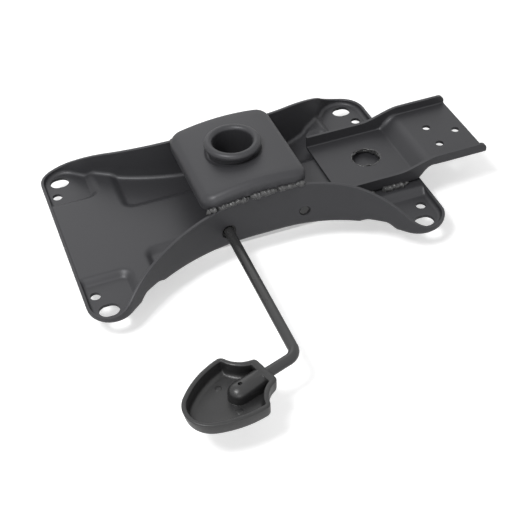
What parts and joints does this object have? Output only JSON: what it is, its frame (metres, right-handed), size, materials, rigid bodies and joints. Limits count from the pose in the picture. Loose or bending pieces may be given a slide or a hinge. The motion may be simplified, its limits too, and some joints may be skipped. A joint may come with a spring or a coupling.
{
  "type": "office chair seat plate",
  "caption": "Pressed steel seat plate for an office chair, with a gas-lift socket, a welded backrest bracket and a height lever.",
  "frame": {"origin": "on the gas-lift axis, in the face that bolts to the seat board", "axes": "+Z along the gas-lift axis, towards the mouth of the socket (down when the chair is in use); +X towards the backrest bracket; the lever leaves the -Y side"},
  "size_m": [0.311, 0.2922, 0.0577],
  "materials": {
    "coated_steel": "satin black powder coat",
    "weld_metal": "powder-coated weld bead",
    "lever_steel": "satin black powder coat",
    "black_plastic": "fine-grained moulded plastic",
    "bush_nylon": "plain moulded nylon"
  },
  "bodies": {
    "frame": {"seat_pan": "coated_steel", "saddle_housing": "coated_steel", "taper_socket": "coated_steel", "back_bracket": "coated_steel", "rod_bush": "bush_nylon", "housing_weld_lever_side": "weld_metal", "housing_weld_far_side": "weld_metal", "socket_top_weld": "weld_metal", "socket_foot_weld": "weld_metal", "bracket_weld_lever_side": "weld_metal", "bracket_weld_far_side": "weld_metal", "bracket_plug_weld": "weld_metal"},
    "lever": {"lever_rod": "lever_steel", "lever_paddle": "black_plastic"}
  },
  "joints": [
    {"name": "lever_lift", "type": "hinge", "parent": "frame", "child": "lever", "pos_m": [0.00755, -0.0421, 0.0155], "axis": [1, 0, 0], "range_deg": [0, 8]}
  ]
}
